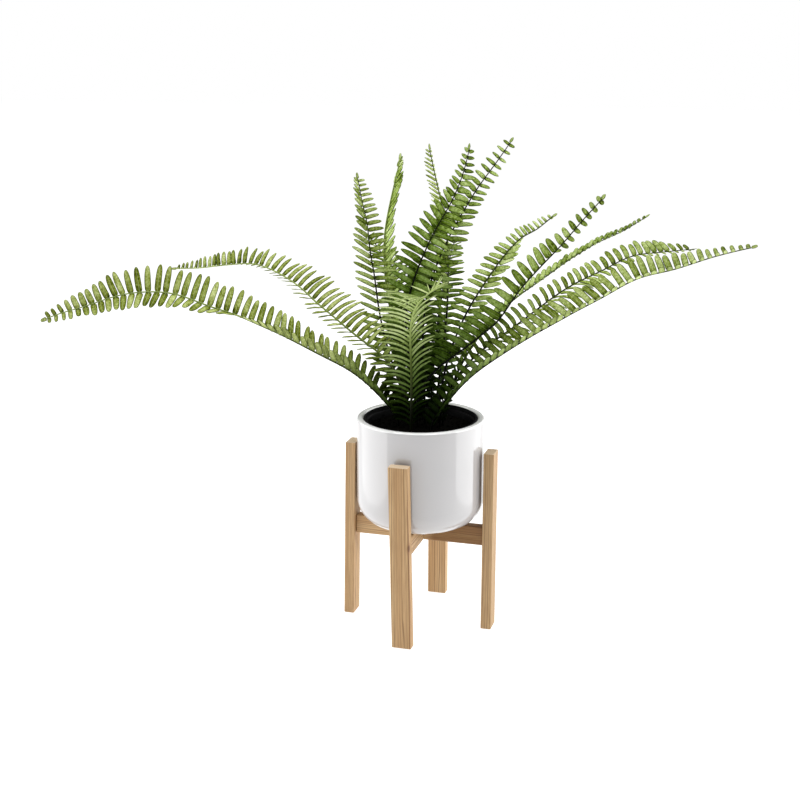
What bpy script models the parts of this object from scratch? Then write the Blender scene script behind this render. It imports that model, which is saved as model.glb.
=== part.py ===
"""A fern in a white glazed planter on a four-legged wooden stand. Metres, +Z up, -Y is the front.

The origin is on the floor, midway between the four legs. The crossbars run along X and Y.
"""

import math
from collections import namedtuple

import bmesh
import bpy
import numpy as np
from mathutils import Matrix
from mathutils.bvhtree import BVHTree

MM = 0.001
GAP = 0.3 * MM

# Wooden stand
LEG_WIDTH = 23 * MM
LEG_DEPTH = 12.4 * MM
LEG_HEIGHT = 219 * MM
LEG_RADIUS = 85 * MM
EASED_EDGE = 0.8 * MM
BAR_HEIGHT = 22.8 * MM
BAR_THICKNESS = 12 * MM
BAR_BOTTOM = 103.8 * MM
BAR_TOP = BAR_BOTTOM + BAR_HEIGHT
DOWEL_RADIUS = 3 * MM
DOWEL_SPACING = 11 * MM
DOWEL_IN_LEG = 7 * MM
DOWEL_IN_BAR = 13 * MM
TURNS = {"right": 0, "back": 90, "left": 180, "front": 270}

# Glazed planter
POT_RADIUS = 75 * MM
POT_HEIGHT = 128 * MM
POT_WALL = 8 * MM
POT_BOTTOM = BAR_TOP + GAP
POT_CORNER = 29 * MM
POT_RIM_ROUND = 2.6 * MM
POT_FLOOR = POT_BOTTOM + POT_WALL
POT_TOP = POT_BOTTOM + POT_HEIGHT

# Plastic nursery pot inside the planter
LINER_TOP = POT_TOP - 0.8 * MM
COLLAR_RADIUS = POT_RADIUS - POT_WALL - GAP
COLLAR_HEIGHT = 5.4 * MM
COLLAR_EASE = 0.5 * MM
LEDGE_WIDTH = 2.6 * MM
LINER_CORNER = 2 * MM
LINER_WALL = 1.6 * MM
LEDGE_HEIGHT = LINER_TOP - COLLAR_HEIGHT
LINER_TOP_RADIUS = COLLAR_RADIUS - LEDGE_WIDTH
LINER_BASE_RADIUS = 46 * MM
LINER_BOTTOM = POT_FLOOR + GAP

# Soil
SOIL_EDGE = LINER_TOP - 11.9 * MM
SOIL_MOUND = 2 * MM
STEM_DEPTH = 22 * MM
STEM_HOLE_RADIUS = 2.7 * MM

# Fronds
RIB_WIDTH = (3.2 * MM, 1.2 * MM)
RIB_THICKNESS = (2.8 * MM, 1 * MM)
BLADE_THICKNESS = 0.7 * MM
LEAFLET_SPACING = 18.5 * MM
LEAFLET_BASE = 5.6 * MM
LEAFLET_WIDTH = 8.4 * MM
NARROWEST_SHARE = 0.5
FULL_WIDTH_REACH = 20 * MM
LEAFLET_DROOP = 0.12
LEAFLET_SWEEP = (5, 16)
SHOULDER_AT = 0.55
BARE_STEM = 16 * MM
BARE_STATIONS = 4
RISE_LENGTH = 15 * MM
FLATTEST_FOLD = -30
STEEPEST_FOLD = 78
TEST_HALF_THICKNESS = 0.8 * MM
TEST_STEP = 6 * MM
REACH_STATIONS = (0, 0.1, 0.3, 0.6, 0.76, 0.9, 1)
REACH_SHARES = (0.45, 0.65, 1, 0.95, 0.72, 0.42, 0.2)
# A leaflet that would cross another frond is folded by the first value and shortened to the second.
BENDS = [
    (lift, share)
    for share in (1, 0.78, 0.58, 0.4, 0.25)
    for lift in (0, 14, -14, 28, -28)
]

# root is in mm from the soil's centre, length and reach (the longest leaflet) in mm. lean is the rib's
# angle from upright at the root, quarter, half, three quarters and tip. heading is its bearing in plan,
# fold how far the blade closes upwards and roll its turn about the rib, each at the root and the tip.
Frond = namedtuple("Frond", "root length lean heading fold roll reach")
FRONDS = {
    "frond_far_left": Frond((-24, -9), 456, (26, 60, 61, 87, 120), (206, 212), (62, 15), (-5, -65), 34),
    "frond_far_right": Frond((18, -16), 431, (20, 55, 57, 69, 77), (3, 3), (60, 40), (5, 35), 34),
    "frond_tallest": Frond((3, 7), 377, (0, -4, 30, 47, 45), (64, 58), (15, 15), (10, 10), 29),
    "frond_front": Frond((-5, -22), 232, (4, -4, 15, 62, 66), (286, 310), (25, 25), (0, 0), 34),
    "frond_upright": Frond((-8, 8), 345, (-1, -15, 24, 39, 11), (60, 50), (20, 20), (0, 0), 32),
    "frond_upright_left": Frond((-16, 19), 308, (40, 32, 16, 13, 30), (140, 140), (20, 20), (0, 0), 32),
    "frond_right_upright": Frond((-1, -10), 352, (-12, 55, 37, 41, 40), (4, 2), (60, 25), (0, 45), 34),
    "frond_right": Frond((24, -3), 387, (4, 49, 55, 71, 91), (22, 26), (55, 50), (10, 20), 32),
    "frond_left": Frond((-15, -2), 405, (-4, 61, 47, 94, 101), (174, 170), (30, 30), (-30, -40), 33),
    "frond_right_back": Frond((18, 15), 310, (0, 20, 39, 51, 75), (52, 51), (20, 20), (20, 20), 28),
    "frond_right_folded": Frond((25, 7), 366, (8, 33, 54, 63, 67), (34, 32), (65, 70), (0, 0), 28),
    "frond_slim": Frond((12, 20), 356, (9, 28, 22, 46, 22), (75, 134), (30, 60), (0, 0), 22),
    "frond_edgewise": Frond((-6, 20), 346, (11, 35, 33, 36, 16), (161, 72), (50, 68), (0, 0), 20),
    "frond_back": Frond((5, 27), 280, (8, 25, 45, 60, 75), (95, 95), (25, 25), (0, 0), 30),
    "frond_back_left": Frond((-5, 25), 290, (10, 25, 45, 60, 80), (128, 128), (25, 25), (0, 0), 30),
}

WOOD = ("wood", (0.56, 0.38, 0.20), 0.55)
GLAZE = ("white_glaze", (0.86, 0.86, 0.86), 0.08)
BLACK_PLASTIC = ("black_plastic", (0.02, 0.02, 0.022), 0.35)
SOIL = ("soil", (0.012, 0.011, 0.010), 0.9)
LEAF = ("leaf_green", (0.16, 0.26, 0.05), 0.5)


def clear_scene():
    for obj in list(bpy.data.objects):
        bpy.data.objects.remove(obj)


def new_collection(name, hidden=False):
    collection = bpy.data.collections.new(name)
    bpy.context.scene.collection.children.link(collection)
    collection.hide_render = hidden
    return collection


def material(look):
    name, colour, roughness = look
    made = bpy.data.materials.get(name)
    if made:
        return made
    made = bpy.data.materials.new(name)
    made.use_nodes = True
    shader = made.node_tree.nodes["Principled BSDF"]
    shader.inputs["Base Color"].default_value = (*colour, 1)
    shader.inputs["Roughness"].default_value = roughness
    shader.inputs["Metallic"].default_value = 0
    return made


def object_from(name, shape, collection, look=None):
    """An object made from a bmesh, which is freed."""
    mesh = bpy.data.meshes.new(name)
    shape.to_mesh(mesh)
    shape.free()
    obj = bpy.data.objects.new(name, mesh)
    collection.objects.link(obj)
    if look:
        mesh.materials.append(material(look))
    return obj


def box(size, centre):
    shape = bmesh.new()
    bmesh.ops.create_cube(shape, size=1, matrix=Matrix.Translation(centre) @ Matrix.Diagonal((*size, 1)))
    return shape


def rod(radius, start, end, sides):
    """A capped cylinder along X from start to end, both (x, y, z) with the same y and z."""
    shape = bmesh.new()
    middle = [(a + b) / 2 for a, b in zip(start, end)]
    bmesh.ops.create_cone(
        shape,
        cap_ends=True,
        segments=sides,
        radius1=radius,
        radius2=radius,
        depth=end[0] - start[0],
        matrix=Matrix.Translation(middle) @ Matrix.Rotation(math.radians(90), 4, "Y"),
    )
    return shape


def turn_about_z(obj, degrees):
    obj.matrix_world = Matrix.Rotation(math.radians(degrees), 4, "Z")


def as_cutter(obj):
    obj.hide_render = True
    obj.display_type = "WIRE"
    return obj


def ease_edges(obj):
    bevel = obj.modifiers.new("eased edges", "BEVEL")
    bevel.width = EASED_EDGE
    bevel.segments = 1
    bevel.limit_method = "ANGLE"


def cut_by(obj, cutter):
    cut = obj.modifiers.new("cut " + cutter.name, "BOOLEAN")
    cut.operation = "DIFFERENCE"
    cut.object = cutter


def dowel_heights():
    middle = (BAR_BOTTOM + BAR_TOP) / 2
    return {"upper": middle + DOWEL_SPACING / 2, "lower": middle - DOWEL_SPACING / 2}


def make_dowel_joint(side, part, cutters):
    """Two dowels across the joint between a leg and a crossbar, and the holes that they sit in."""
    face = LEG_RADIUS - LEG_DEPTH / 2
    holes = []
    for level, z in dowel_heights().items():
        start = (face - DOWEL_IN_BAR, 0, z)
        end = (face + DOWEL_IN_LEG, 0, z)
        dowel = object_from(f"dowel_{side}_{level}", rod(DOWEL_RADIUS, start, end, 12), part, WOOD)
        turn_about_z(dowel, TURNS[side])
        hole_start = (start[0] - GAP, 0, z)
        hole_end = (end[0] + GAP, 0, z)
        hole = rod(DOWEL_RADIUS + GAP, hole_start, hole_end, 12)
        cutter = as_cutter(object_from(f"dowel_hole_{side}_{level}", hole, cutters))
        turn_about_z(cutter, TURNS[side])
        holes.append(cutter)
    return holes


def make_leg(side, holes, part):
    size = (LEG_DEPTH, LEG_WIDTH, LEG_HEIGHT)
    leg = object_from(f"leg_{side}", box(size, (LEG_RADIUS, 0, LEG_HEIGHT / 2)), part, WOOD)
    turn_about_z(leg, TURNS[side])
    ease_edges(leg)
    for hole in holes:
        cut_by(leg, hole)


def make_crossbar(name, turn, notch_from, notch_to, holes, part, cutters):
    """A crossbar along X, turned by turn, with a half-lap notch between two heights."""
    reach = LEG_RADIUS - LEG_DEPTH / 2 - GAP
    middle = (BAR_BOTTOM + BAR_TOP) / 2
    size = (2 * reach, BAR_THICKNESS, BAR_HEIGHT)
    bar = object_from(name, box(size, (0, 0, middle)), part, WOOD)
    turn_about_z(bar, turn)
    ease_edges(bar)
    notch_size = (BAR_THICKNESS + 2 * GAP, 2 * BAR_THICKNESS, notch_to - notch_from)
    notch = box(notch_size, (0, 0, (notch_from + notch_to) / 2))
    cutter = as_cutter(object_from(name + "_notch", notch, cutters))
    turn_about_z(cutter, turn)
    cut_by(bar, cutter)
    for hole in holes:
        cut_by(bar, hole)


def make_stand(part, cutters):
    holes = {side: make_dowel_joint(side, part, cutters) for side in TURNS}
    for side in TURNS:
        make_leg(side, holes[side], part)
    middle = (BAR_BOTTOM + BAR_TOP) / 2
    over = BAR_HEIGHT / 2
    low_notch = (BAR_BOTTOM - over, middle + GAP / 2)
    high_notch = (middle - GAP / 2, BAR_TOP + over)
    side_holes = holes["right"] + holes["left"]
    front_holes = holes["front"] + holes["back"]
    make_crossbar("crossbar_side_to_side", 0, *low_notch, side_holes, part, cutters)
    make_crossbar("crossbar_front_to_back", 90, *high_notch, front_holes, part, cutters)


def arc(centre, radius, start, end, steps):
    """Points (x, z) on an arc, with angles in degrees from +X towards +Z."""
    angles = [math.radians(start + (end - start) * k / steps) for k in range(steps + 1)]
    return [(centre[0] + radius * math.cos(a), centre[1] + radius * math.sin(a)) for a in angles]


def turned(name, profile, steps, part, look):
    """A solid of revolution from a profile of (x, z) points that runs down its outer side."""
    shape = bmesh.new()
    points = [shape.verts.new((x, 0, z)) for x, z in profile]
    for a, b in zip(points, points[1:]):
        shape.edges.new((a, b))
    obj = object_from(name, shape, part, look)
    screw = obj.modifiers.new("turn", "SCREW")
    screw.axis = "Z"
    screw.steps = steps
    screw.render_steps = steps
    screw.use_merge_vertices = True
    screw.merge_threshold = 0.00005
    screw.use_smooth_shade = True
    return obj


def make_planter(part):
    inner = POT_RADIUS - POT_WALL
    inner_corner = POT_CORNER - POT_WALL
    rim = POT_RIM_ROUND
    profile = [(0, POT_FLOOR)]
    profile += arc((inner - inner_corner, POT_FLOOR + inner_corner), inner_corner, -90, 0, 4)
    profile += arc((inner + rim, POT_TOP - rim), rim, 180, 90, 2)
    profile += arc((POT_RADIUS - rim, POT_TOP - rim), rim, 90, 0, 2)
    profile += arc((POT_RADIUS - POT_CORNER, POT_BOTTOM + POT_CORNER), POT_CORNER, 0, -90, 5)
    profile += [(0, POT_BOTTOM)]
    turned("planter", profile, 36, part, GLAZE)


def liner_inner_radius(z):
    share = (z - LINER_BOTTOM) / (LEDGE_HEIGHT - LINER_BOTTOM)
    return LINER_BASE_RADIUS + share * (LINER_TOP_RADIUS - LINER_BASE_RADIUS) - LINER_WALL


def make_liner(part):
    """A thin tapered pot whose wall steps out over a ledge to an upright collar."""
    floor = LINER_BOTTOM + LINER_WALL
    outer = COLLAR_RADIUS
    inner = COLLAR_RADIUS - LINER_WALL
    under = LEDGE_HEIGHT - LINER_WALL
    profile = [
        (0, floor),
        (liner_inner_radius(floor), floor),
        (liner_inner_radius(LEDGE_HEIGHT), LEDGE_HEIGHT),
        (inner, LEDGE_HEIGHT),
        (inner, LINER_TOP - COLLAR_EASE),
        (inner + COLLAR_EASE, LINER_TOP),
        (outer - COLLAR_EASE, LINER_TOP),
        (outer, LINER_TOP - COLLAR_EASE),
        (outer, under),
        (LINER_TOP_RADIUS, under),
        (LINER_BASE_RADIUS, LINER_BOTTOM + LINER_CORNER),
        (LINER_BASE_RADIUS - LINER_CORNER, LINER_BOTTOM),
        (0, LINER_BOTTOM),
    ]
    turned("liner", profile, 36, part, BLACK_PLASTIC)


def soil_height(x, y):
    """The soil is a low mound, highest in the middle."""
    share = min(1, math.hypot(x, y) / liner_inner_radius(SOIL_EDGE))
    return SOIL_EDGE + SOIL_MOUND * (1 - share * share)


def make_soil(part, cutters):
    bottom = LINER_BOTTOM + LINER_WALL + GAP
    edge = liner_inner_radius(SOIL_EDGE) - GAP
    profile = [(edge * k / 3, soil_height(edge * k / 3, 0)) for k in range(4)]
    profile += [(liner_inner_radius(bottom) - GAP, bottom), (0, bottom)]
    soil = turned("soil", profile, 36, part, SOIL)
    holes = bmesh.new()
    for frond in FRONDS.values():
        x, y = (value * MM for value in frond.root)
        low = soil_height(x, y) - STEM_DEPTH - GAP
        high = SOIL_EDGE + 3 * SOIL_MOUND
        bmesh.ops.create_cone(
            holes,
            cap_ends=True,
            segments=8,
            radius1=STEM_HOLE_RADIUS,
            radius2=STEM_HOLE_RADIUS,
            depth=high - low,
            matrix=Matrix.Translation((x, y, (high + low) / 2)),
        )
    cut_by(soil, as_cutter(object_from("stem_holes", holes, cutters)))


def between(values, share):
    """The value at a share of the way along evenly spaced values."""
    return float(np.interp(share, np.linspace(0, 1, len(values)), values))


def rib_axes(frond, share, distance):
    """Unit vectors along the rib, to its left and to its upper side, at a share of its length."""
    rise = min(1, max(0, distance / RISE_LENGTH))
    lean = math.radians(between(frond.lean, share)) * rise
    heading = math.radians(between(frond.heading, share))
    roll = math.radians(between(frond.roll, share))
    out = np.array((math.cos(heading), math.sin(heading), 0))
    upright = np.array((0, 0, 1))
    along = math.sin(lean) * out + math.cos(lean) * upright
    upper = math.sin(lean) * upright - math.cos(lean) * out
    left = np.array((-math.sin(heading), math.cos(heading), 0))
    rolled_left = math.cos(roll) * left + math.sin(roll) * upper
    rolled_upper = math.cos(roll) * upper - math.sin(roll) * left
    return along, rolled_left, rolled_upper


class Rib:
    """The middle line of a frond, measured from the soil's surface upwards."""

    STEP = 2 * MM

    def __init__(self, frond):
        self.frond = frond
        self.length = frond.length * MM
        x, y = (value * MM for value in frond.root)
        place = np.array((x, y, soil_height(x, y)))
        count = round(self.length / self.STEP)
        step = self.length / count
        points = [place]
        for k in range(count):
            along, _, _ = rib_axes(frond, (k + 0.5) / count, (k + 0.5) * step)
            place = place + along * step
            points.append(place)
        self.points = np.array(points)
        self.distances = np.linspace(0, self.length, count + 1)

    def point(self, distance):
        if distance < 0:
            return self.points[0] + np.array((0, 0, distance))
        return np.array([np.interp(distance, self.distances, self.points[:, k]) for k in range(3)])

    def axes(self, distance):
        return rib_axes(self.frond, max(0, distance) / self.length, distance)

    def width(self, distance):
        return between(RIB_WIDTH, max(0, distance) / self.length)

    def thickness(self, distance):
        return between(RIB_THICKNESS, max(0, distance) / self.length)

    def edges(self, distance):
        """The left and right edge of the rib."""
        place = self.point(distance)
        _, left, _ = self.axes(distance)
        half = left * self.width(distance) / 2
        return place + half, place - half

    def leaflet_places(self):
        leafy = self.length - BARE_STEM
        count = int(leafy / LEAFLET_SPACING)
        spacing = leafy / count
        return [BARE_STEM + (k + 0.5) * spacing for k in range(count)]


def leaflet_outline(rib, distance, side, lift, shorten):
    """Five points: the leaflet's base on the rib's edge, its shoulders and its tip."""
    frond = rib.frond
    share = distance / rib.length
    along, left, upper = rib.axes(distance)
    fold = max(FLATTEST_FOLD, min(STEEPEST_FOLD, between(frond.fold, share) + lift))
    fold = math.radians(fold)
    sweep = math.radians(between(LEAFLET_SWEEP, share))
    sideways = math.cos(fold) * side * left + math.sin(fold) * upper
    outwards = math.cos(sweep) * sideways + math.sin(sweep) * along
    across = math.cos(sweep) * along - math.sin(sweep) * sideways
    full = frond.reach * MM * float(np.interp(share, REACH_STATIONS, REACH_SHARES))
    reach = full * shorten
    half = LEAFLET_WIDTH / 2 * min(1, max(NARROWEST_SHARE, reach / FULL_WIDTH_REACH))
    bases = []
    for offset in (-LEAFLET_BASE / 2, LEAFLET_BASE / 2):
        edges = rib.edges(distance + offset)
        bases.append(edges[0] if side > 0 else edges[1])
    root = (bases[0] + bases[1]) / 2
    shoulder = root + outwards * reach * SHOULDER_AT
    drooped = (math.cos(fold) * upper - math.sin(fold) * side * left) * reach * LEAFLET_DROOP
    tip = root + outwards * reach - drooped
    return [bases[0], bases[1], shoulder + across * half, tip, shoulder - across * half]


def slab(outline, half_thickness):
    """Points and faces of a thin closed slab around a nearly flat outline, for testing what it meets."""
    points = np.array(outline)
    normal = np.cross(points[1] - points[0], points[2] - points[0])
    normal = normal / np.linalg.norm(normal) * half_thickness
    count = len(points)
    faces = [tuple(range(count)), tuple(range(2 * count - 1, count - 1, -1))]
    faces += [(k, (k + 1) % count, count + (k + 1) % count, count + k) for k in range(count)]
    return np.vstack((points + normal, points - normal)), faces


def tree_of(slabs):
    points, faces = [], []
    for slab_points, slab_faces in slabs:
        faces += [tuple(index + len(points) for index in face) for face in slab_faces]
        points += [tuple(point) for point in slab_points]
    return BVHTree.FromPolygons(points, faces)


def rib_slabs(rib):
    found = []
    places = np.arange(0, rib.length, TEST_STEP)
    for start, end in zip(places, places[1:]):
        left_start, right_start = rib.edges(start)
        left_end, right_end = rib.edges(end)
        half = rib.thickness(start) / 2 + GAP
        found.append(slab([left_start, left_end, right_end, right_start], half))
    return found


def free_outline(rib, distance, side, others):
    """The leaflet, bent or shortened until it is clear of the other fronds, or None."""
    for lift, shorten in BENDS:
        outline = leaflet_outline(rib, distance, side, lift, shorten)
        if not others.overlap(tree_of([slab(outline, TEST_HALF_THICKNESS)])):
            return outline
    return None


def arrange_leaflets(ribs):
    """The leaflets of each frond, as {(place, side): outline}, with none across another frond."""
    rib_tests = {name: rib_slabs(rib) for name, rib in ribs.items()}
    placed = []
    leaflets = {}
    for name, rib in ribs.items():
        tests = placed + [test for other, found in rib_tests.items() if other != name for test in found]
        others = tree_of(tests)
        leaflets[name] = {
            (place, side): free_outline(rib, place, side, others)
            for place in rib.leaflet_places()
            for side in (1, -1)
        }
        placed += [slab(found, TEST_HALF_THICKNESS) for found in leaflets[name].values() if found]
    return leaflets


def make_frond(name, rib, leaflets, part):
    """One open sheet, the rib with its leaflets on both edges, made solid by its thickness."""
    shape = bmesh.new()
    weights = shape.verts.layers.deform.verify()
    thickest = RIB_THICKNESS[0]

    def vertex(place, thickness):
        made = shape.verts.new(tuple(place))
        made[weights][0] = thickness / thickest
        return made

    bare = list(np.linspace(0, BARE_STEM, BARE_STATIONS))
    stations = [-STEM_DEPTH] + bare
    for place in rib.leaflet_places():
        stations += [place - LEAFLET_BASE / 2, place + LEAFLET_BASE / 2]
    rows = {}
    for station in stations:
        rows[station] = [vertex(edge, rib.thickness(station)) for edge in rib.edges(station)]
    for start, end in zip(stations, stations[1:]):
        left_start, right_start = rows[start]
        left_end, right_end = rows[end]
        shape.faces.new((right_start, right_end, left_start))
        shape.faces.new((right_end, left_end, left_start))
    for (place, side), outline in leaflets.items():
        if outline is None:
            continue
        column = 0 if side > 0 else 1
        base_start = rows[place - LEAFLET_BASE / 2][column]
        base_end = rows[place + LEAFLET_BASE / 2][column]
        ahead, tip, behind = (vertex(point, BLADE_THICKNESS) for point in outline[2:])
        for corners in ((base_start, base_end, ahead), (base_start, ahead, behind), (behind, ahead, tip)):
            shape.faces.new(corners if side > 0 else corners[::-1])
    tip = vertex(rib.point(rib.length), BLADE_THICKNESS)
    shape.faces.new((rows[stations[-1]][1], tip, rows[stations[-1]][0]))
    frond = object_from(name, shape, part, LEAF)
    frond.vertex_groups.new(name="thickness")
    solidify = frond.modifiers.new("thickness", "SOLIDIFY")
    solidify.thickness = thickest
    solidify.offset = 0
    solidify.vertex_group = "thickness"


def main():
    clear_scene()
    part = new_collection("potted_fern")
    cutters = new_collection("cutters", hidden=True)
    make_stand(part, cutters)
    make_planter(part)
    make_liner(part)
    make_soil(part, cutters)
    ribs = {name: Rib(frond) for name, frond in FRONDS.items()}
    for name, leaflets in arrange_leaflets(ribs).items():
        make_frond(name, ribs[name], leaflets, part)


main()
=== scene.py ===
"""The looks of the potted fern: fine fronds, glazed planter, plastic pot, soil and grained wooden stand.

Metres, +Z up, -Y is the front. The ribs of the fronds repeat those of the CAD fronds, shifted a little to
where the photograph shows them.
"""

from collections import namedtuple
from math import atan2, copysign, cos, hypot, pi, radians, sin, sqrt

import bmesh
import bpy
import numpy as np
from mathutils import Matrix, Vector
from mathutils.bvhtree import BVHTree


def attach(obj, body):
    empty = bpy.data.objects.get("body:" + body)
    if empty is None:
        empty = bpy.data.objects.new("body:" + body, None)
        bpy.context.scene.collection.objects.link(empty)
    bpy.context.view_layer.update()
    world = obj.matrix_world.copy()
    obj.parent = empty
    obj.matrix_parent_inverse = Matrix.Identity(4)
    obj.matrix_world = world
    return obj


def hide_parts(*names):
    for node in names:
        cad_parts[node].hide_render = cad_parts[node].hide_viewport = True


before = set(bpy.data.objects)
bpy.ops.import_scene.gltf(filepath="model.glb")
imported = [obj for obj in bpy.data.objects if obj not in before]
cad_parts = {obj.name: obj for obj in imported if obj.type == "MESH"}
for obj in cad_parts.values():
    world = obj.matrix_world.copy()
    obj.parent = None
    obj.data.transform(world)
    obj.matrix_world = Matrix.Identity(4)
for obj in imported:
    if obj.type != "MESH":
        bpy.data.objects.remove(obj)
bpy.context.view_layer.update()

MM = 0.001
GAP = 0.3 * MM

# Wooden stand, as in the CAD
LEG_WIDTH = 23 * MM
LEG_DEPTH = 12.4 * MM
LEG_HEIGHT = 219 * MM
LEG_RADIUS = 85 * MM
LEG_EDGE = 0.9 * MM
BAR_BOTTOM = 103.8 * MM
BAR_TOP = 126.6 * MM
DOWEL_RADIUS = 3 * MM
DOWEL_SPACING = 11 * MM
DOWEL_IN_LEG = 7 * MM
TURNS = {"right": 0, "back": 90, "left": 180, "front": 270}
# How far the foot and the top of a leg stand to the right of straight, in mm
LEG_LEANS = {"right": (-0.3, 0), "back": (0, 0), "left": (-2.4, 1.6), "front": (3.1, -1.5)}
# The middle of the front leg's knot and half its size
KNOT = ((0.0122, -0.0905, 0.124), (0.0019, 0.004, 0.0048))
# Where painted shade darkens the long crossbar in the pot's shadow, from and to this far right of its middle
PAINTED_SHADE_SPAN = (5 * MM, 20 * MM)

# Glazed planter
POT_RADIUS = 75 * MM
POT_HEIGHT = 128 * MM
POT_WALL = 8 * MM
POT_BOTTOM = BAR_TOP + GAP
POT_CORNER = 29 * MM
POT_RIM_ROUND = 2.6 * MM
POT_FLOOR = POT_BOTTOM + POT_WALL
POT_TOP = POT_BOTTOM + POT_HEIGHT
POT_STEPS = 144

# Plastic nursery pot
LINER_TOP = POT_TOP - 0.8 * MM
COLLAR_RADIUS = POT_RADIUS - POT_WALL - GAP
COLLAR_HEIGHT = 5.4 * MM
LEDGE_WIDTH = 2.6 * MM
LINER_WALL = 1.6 * MM
LEDGE_HEIGHT = LINER_TOP - COLLAR_HEIGHT
LINER_TOP_RADIUS = COLLAR_RADIUS - LEDGE_WIDTH
LINER_BASE_RADIUS = 46 * MM
LINER_BOTTOM = POT_FLOOR + GAP
LINER_STEPS = 128

# Soil, with waves and jitter on its surface, and crumbs whose radii are in mm
SOIL_EDGE = LINER_TOP - 11.9 * MM
SOIL_MOUND = 2 * MM
SOIL_RINGS = 26
SOIL_STEPS = 96
WAVE_COUNT = 10
WAVE_TURNS = 170
WAVE_HEIGHT = 0.13 * MM
JITTER = 0.35
CALM_RINGS = 3
CRUMB_COUNT = 420
CRUMB_RADII = (0.5, 1.6)
STEM_DEPTH = 22 * MM

# Ribs, each from the root to the tip
RIB_WIDTH = (3.2 * MM, 1.2 * MM)
RIB_THICKNESS = (2.8 * MM, 1 * MM)
RIB_SIDES = 8
RIB_STEP = 3 * MM
RIB_POINT = 1.5 * MM
RISE_LENGTH = 15 * MM

# Leaflets: where they stand on the rib, and their form
BARE_STEM = 5 * MM
LAST_PAIR_FROM_TIP = 8 * MM
END_FROM_TIP = 5 * MM
END_REACH = 6
LEAF_THICKNESS = 0.45 * MM
LEAF_BEND = 12
ROWS = (0, 0.03, 0.07, 0.13, 0.22, 0.34, 0.46, 0.58, 0.7, 0.8, 0.88, 0.94, 0.98, 1)
BLUNT_WIDTHS = (0.5, 0.78, 0.9, 0.97, 1, 1, 1, 1, 0.98, 0.92, 0.82, 0.64, 0.4, 0.1)
POINTED_WIDTHS = (0.42, 0.8, 0.95, 1, 1, 0.97, 0.91, 0.82, 0.68, 0.52, 0.36, 0.22, 0.1, 0.03)
COLUMNS = (-1, -0.5, 0, 0.5, 1)
# Heights across a leaflet, as shares of its half width
ARCH = 0.16
GROOVE = 0.05
RIPPLE = 0.06
# A leaflet that reaches less than this many units is narrower, down to this share of its width
FULL_WIDTH_REACH = 15
NARROWEST_SHARE = 0.62
# Nearer to the plant's foot than this many mm, only this share of the light is left
DARK_CORE = 28
DARKEST = 0.03
# How a leaflet that would cross another frond is tilted to or from the eye, in degrees, and then shortened
BENDS = [
    (tilt, share)
    for share in (1, 0.82, 0.62, 0.42)
    for tilt in (0, 10, -10, 20, -20, 32, -32, 46, -46)
]
# The most that luck, from -1 to 1, changes a leaflet: angles in degrees, reach by a share, place in metres
Luck = namedtuple("Luck", "angle tilt reach turn tone place")
MOST_LUCK = Luck(5, 4, 0.08, 6, 0.17, 0.5 * MM)
NO_LUCK = Luck(0, 0, 0, 0, 0, 0)

# The camera, from which the leaflets are given as they are seen. A unit is one part in 1330 of the distance.
EYE = (0.4020, -1.4478, 0.6735)
EYE_TURNS = (75.13, 0, 16.44)
EYE_RIGHT = (0.959, 0.283, 0)
UNITS_FROM_EYE = 1330
LENS = 59.8
SENSOR_WIDTH = 36

# Softboxes: bearing in degrees from the front towards the right; distance, height and the height aimed at,
# and size, all in metres; power in watts; whether the camera sees it. The pot mirrors the low ones.
SOFTBOXES = {
    "right_softbox": (124, 1.75, 1.15, 0.95, (3.4, 2.2), 50, True),
    "left_softbox": (-84, 1.75, 1.15, 0.95, (2.3, 2.2), 30, True),
    "low_right_softbox": (112, 0.5, 0.15, 0.15, (0.66, 0.3), 0.65, False),
    "low_left_softbox": (-76, 0.5, 0.15, 0.15, (0.66, 0.3), 0.6, False),
    "top_softbox": (0, 0, 2.2, 0, (1.8, 1.8), 34, True),
}
AMBIENT = 0.2
FLOOR_REACH = 14
FLOOR_GLOW = 0.92

# The leaflets on one side of a frond as they are seen from the eye, at even stations from root to tip:
# their angle in degrees from rightwards towards upwards, their reach in units, how much nearer the tip is
# in units, their turn about their own length and how far they curl, in degrees.
Side = namedtuple("Side", "angle reach nearer turn curl", defaults=((0, 0), (0, 0)))
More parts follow.
